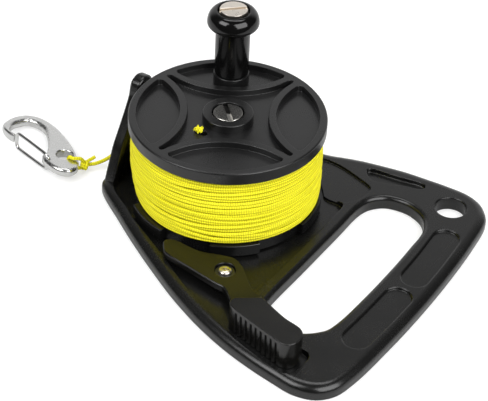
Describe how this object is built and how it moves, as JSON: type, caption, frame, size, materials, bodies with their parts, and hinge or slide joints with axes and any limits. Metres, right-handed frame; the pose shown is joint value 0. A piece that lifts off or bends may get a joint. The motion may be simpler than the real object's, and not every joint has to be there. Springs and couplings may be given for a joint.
{
  "type": "dive reel",
  "caption": "Hand-held dive reel: flanged spool of yellow line with a winding knob on a flat frame with a hand opening, brake lever, line guide arm and snap hook.",
  "frame": {"origin": "on the spool's axis, at the flat back of the frame", "axes": "+X from the spool to the grip, +Z along the spool's axis towards the knob, +Y towards the lanyard hole"},
  "size_m": [0.2322, 0.1576, 0.0882],
  "materials": {
    "frame_plastic": "satin moulded",
    "drum_plastic": "satin moulded",
    "flange_plastic": "matt moulded",
    "lever_plastic": "satin moulded",
    "knob_plastic": "glossy",
    "line": "braided",
    "plated_steel": "nickel plated",
    "washer_steel": "plain stainless",
    "insert_brass": "turned",
    "nylon": "plain",
    "hook_steel": "tumbled and polished",
    "gate_wire": "bright drawn wire"
  },
  "bodies": {
    "frame_body": {"frame": "frame_plastic", "axle_insert": "insert_brass", "axle_screw": "plated_steel", "axle_washer": "washer_steel", "thrust_washer": "nylon", "lever_insert": "insert_brass", "lever_bush": "insert_brass", "lever_washer": "washer_steel", "lever_spring_washer": "washer_steel", "lever_screw": "plated_steel", "lead_line": "line", "hook_knot": "line", "snap_hook": "hook_steel"},
    "spool": {"spool_drum": "drum_plastic", "spool_top_flange": "flange_plastic", "spool_bush": "nylon", "line_core": "line", "line_winding": "line", "line_anchor_knot": "line", "knob_insert": "insert_brass", "knob_sleeve": "washer_steel", "knob_washer": "washer_steel", "knob_screw": "plated_steel"},
    "knob": {"knob_grip": "knob_plastic"},
    "lever": {"brake_lever": "lever_plastic"},
    "gate": {"hook_gate": "gate_wire"}
  },
  "joints": [
    {"name": "spool_spin", "type": "hinge", "parent": "frame_body", "child": "spool", "pos_m": [0, 0, 0], "axis": [0, 0, 1], "continuous": true},
    {"name": "knob_spin", "type": "hinge", "parent": "spool", "child": "knob", "pos_m": [-0.01583, 0.02666, 0], "axis": [0, 0, 1], "continuous": true},
    {"name": "lever_pivot", "type": "hinge", "parent": "frame_body", "child": "lever", "pos_m": [0.033, -0.05, 0], "axis": [0, 0, 1], "range_deg": [-1, 5]},
    {"name": "gate_hinge", "type": "hinge", "parent": "frame_body", "child": "gate", "pos_m": [-0.08166, -0.0292, 0.00601], "axis": [-0.0223, -0.1409, -0.9898], "range_deg": [0, 28], "stiffness_Nm_per_rad": 0.02, "springref_deg": -57.3}
  ]
}
